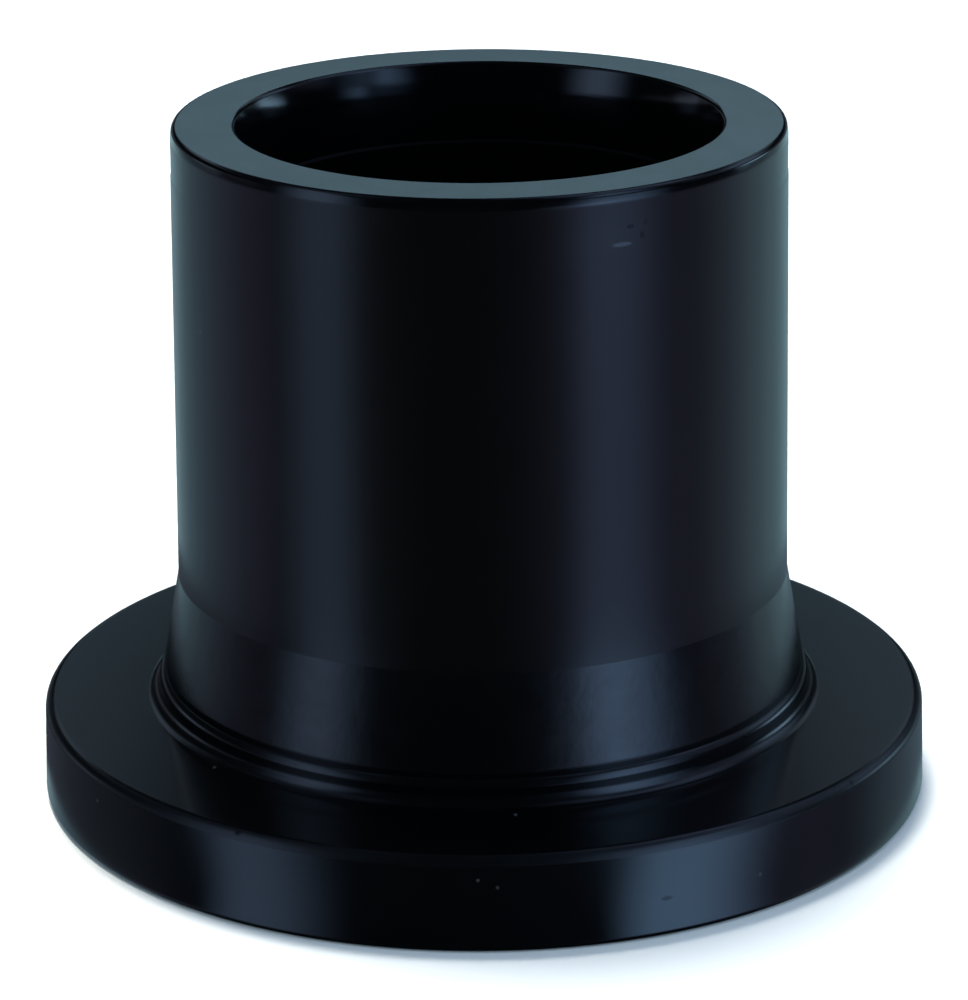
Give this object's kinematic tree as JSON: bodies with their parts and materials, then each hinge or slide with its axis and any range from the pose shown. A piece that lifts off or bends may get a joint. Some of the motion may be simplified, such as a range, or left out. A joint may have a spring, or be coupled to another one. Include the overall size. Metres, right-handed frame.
{
  "type": "lap joint stub end",
  "caption": "Polyethylene stub end for a loose backing ring: plain spigot with a flared neck on a thick round collar, bored through, with a grooved sealing face.",
  "frame": {"origin": "centre of the bore in the plane of the sealing face, on which the fitting stands", "axes": "+Z along the bore axis, from the sealing face towards the spigot's end face; the fitting is round, so +X and +Y are alike"},
  "size_m": [0.1698, 0.1698, 0.1296],
  "materials": {
    "black_polyethylene": "satin, moulded and partly turned"
  },
  "bodies": {
    "root": {"stub_end": "black_polyethylene"}
  },
  "joints": []
}
